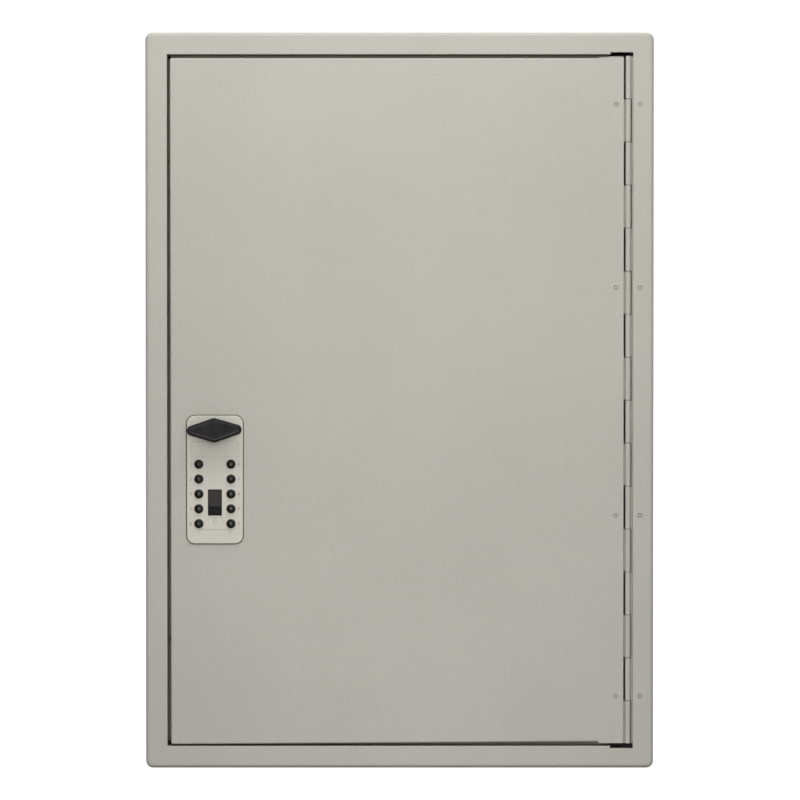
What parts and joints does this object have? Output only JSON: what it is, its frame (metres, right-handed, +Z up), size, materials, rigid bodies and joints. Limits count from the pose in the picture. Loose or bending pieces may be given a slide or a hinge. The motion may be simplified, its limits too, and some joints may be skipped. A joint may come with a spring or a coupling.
{
  "type": "key cabinet",
  "caption": "Wall key cabinet: steel case, flush door on a continuous hinge, push-button lock with a turning knob, and hook rails inside.",
  "frame": {"origin": "middle of the back face, on the wall plane", "axes": "+Z up; +Y into the wall, so the door faces -Y; +X to the right of a person facing the door"},
  "size_m": [0.362, 0.097, 0.524],
  "materials": {
    "cabinet_paint": "warm light grey powder coat, fine texture, satin",
    "plate_paint": "warm light grey paint on a die casting, satin",
    "black_plastic": "black moulded, satin",
    "slide_plastic": "dark grey moulded, ribbed",
    "zinc_plate": "zinc plated",
    "bright_steel": "bright steel",
    "bumper_rubber": "black rubber"
  },
  "bodies": {
    "case": {"case_shell": "cabinet_paint", "back_panel": "cabinet_paint", "strike_bracket": "zinc_plate", "door_bumper_top": "bumper_rubber", "door_bumper_bottom": "bumper_rubber", "hinge_leaf_frame": "cabinet_paint", "hinge_pin": "bright_steel", "hook_rail_01": "zinc_plate", "hook_rail_02": "zinc_plate", "hook_rail_03": "zinc_plate", "hook_rail_04": "zinc_plate", "hook_rail_05": "zinc_plate", "hook_rail_06": "zinc_plate", "hook_rail_07": "zinc_plate", "hook_rail_08": "zinc_plate", "hook_rail_09": "zinc_plate", "hook_rail_10": "zinc_plate", "hook_rail_11": "zinc_plate", "hook_rail_12": "zinc_plate"},
    "door": {"door_panel": "cabinet_paint", "hinge_leaf_door": "cabinet_paint", "lock_faceplate": "plate_paint", "lock_housing": "zinc_plate", "lock_rear_cover": "zinc_plate", "cover_screw_1": "bright_steel", "cover_screw_2": "bright_steel", "cover_screw_3": "bright_steel", "cover_screw_4": "bright_steel", "lock_nut_1": "bright_steel", "lock_nut_2": "bright_steel", "lock_nut_3": "bright_steel", "lock_nut_4": "bright_steel", "button_spring_1": "bright_steel", "button_spring_2": "bright_steel", "button_spring_3": "bright_steel", "button_spring_4": "bright_steel", "button_spring_5": "bright_steel", "button_spring_6": "bright_steel", "button_spring_7": "bright_steel", "button_spring_8": "bright_steel", "button_spring_9": "bright_steel", "button_spring_0": "bright_steel", "clear_spring": "bright_steel"},
    "knob": {"open_knob": "black_plastic", "knob_spindle": "bright_steel", "knob_retainer": "bright_steel"},
    "bolt": {"latch_bolt": "bright_steel"},
    "clear": {"clear_slide": "slide_plastic"},
    "key_1": {"button_1": "black_plastic"},
    "key_2": {"button_2": "black_plastic"},
    "key_3": {"button_3": "black_plastic"},
    "key_4": {"button_4": "black_plastic"},
    "key_5": {"button_5": "black_plastic"},
    "key_6": {"button_6": "black_plastic"},
    "key_7": {"button_7": "black_plastic"},
    "key_8": {"button_8": "black_plastic"},
    "key_9": {"button_9": "black_plastic"},
    "key_0": {"button_0": "black_plastic"}
  },
  "joints": [
    {"name": "door_swing", "type": "hinge", "parent": "case", "child": "door", "pos_m": [0.1627, -0.0831, 0], "axis": [0, 0, 1], "range_deg": [0, 170]},
    {"name": "knob_turn", "type": "hinge", "parent": "door", "child": "knob", "pos_m": [-0.1315, -0.0842, -0.0208], "axis": [0, 1, 0], "range_deg": [0, 80]},
    {"name": "latch_slide", "type": "slide", "parent": "door", "child": "bolt", "axis": [-1, 0, 0], "range_m": [0, 0.009]},
    {"name": "clear_pull", "type": "slide", "parent": "door", "child": "clear", "axis": [0, 0, -1], "range_m": [0, 0.006], "stiffness_N_per_m": 150, "springref_m": -0.005, "deforming": ["clear_spring"]},
    {"name": "button_1_press", "type": "slide", "parent": "door", "child": "key_1", "axis": [0, 1, 0], "range_m": [0, 0.002], "stiffness_N_per_m": 300, "springref_m": -0.002, "deforming": ["button_spring_1"]},
    {"name": "button_2_press", "type": "slide", "parent": "door", "child": "key_2", "axis": [0, 1, 0], "range_m": [0, 0.002], "stiffness_N_per_m": 300, "springref_m": -0.002, "deforming": ["button_spring_2"]},
    {"name": "button_3_press", "type": "slide", "parent": "door", "child": "key_3", "axis": [0, 1, 0], "range_m": [0, 0.002], "stiffness_N_per_m": 300, "springref_m": -0.002, "deforming": ["button_spring_3"]},
    {"name": "button_4_press", "type": "slide", "parent": "door", "child": "key_4", "axis": [0, 1, 0], "range_m": [0, 0.002], "stiffness_N_per_m": 300, "springref_m": -0.002, "deforming": ["button_spring_4"]},
    {"name": "button_5_press", "type": "slide", "parent": "door", "child": "key_5", "axis": [0, 1, 0], "range_m": [0, 0.002], "stiffness_N_per_m": 300, "springref_m": -0.002, "deforming": ["button_spring_5"]},
    {"name": "button_6_press", "type": "slide", "parent": "door", "child": "key_6", "axis": [0, 1, 0], "range_m": [0, 0.002], "stiffness_N_per_m": 300, "springref_m": -0.002, "deforming": ["button_spring_6"]},
    {"name": "button_7_press", "type": "slide", "parent": "door", "child": "key_7", "axis": [0, 1, 0], "range_m": [0, 0.002], "stiffness_N_per_m": 300, "springref_m": -0.002, "deforming": ["button_spring_7"]},
    {"name": "button_8_press", "type": "slide", "parent": "door", "child": "key_8", "axis": [0, 1, 0], "range_m": [0, 0.002], "stiffness_N_per_m": 300, "springref_m": -0.002, "deforming": ["button_spring_8"]},
    {"name": "button_9_press", "type": "slide", "parent": "door", "child": "key_9", "axis": [0, 1, 0], "range_m": [0, 0.002], "stiffness_N_per_m": 300, "springref_m": -0.002, "deforming": ["button_spring_9"]},
    {"name": "button_0_press", "type": "slide", "parent": "door", "child": "key_0", "axis": [0, 1, 0], "range_m": [0, 0.002], "stiffness_N_per_m": 300, "springref_m": -0.002, "deforming": ["button_spring_0"]}
  ],
  "couplings": [
    {"joint": "knob_turn", "follows": "latch_slide", "rad_per_m": 155.1}
  ]
}
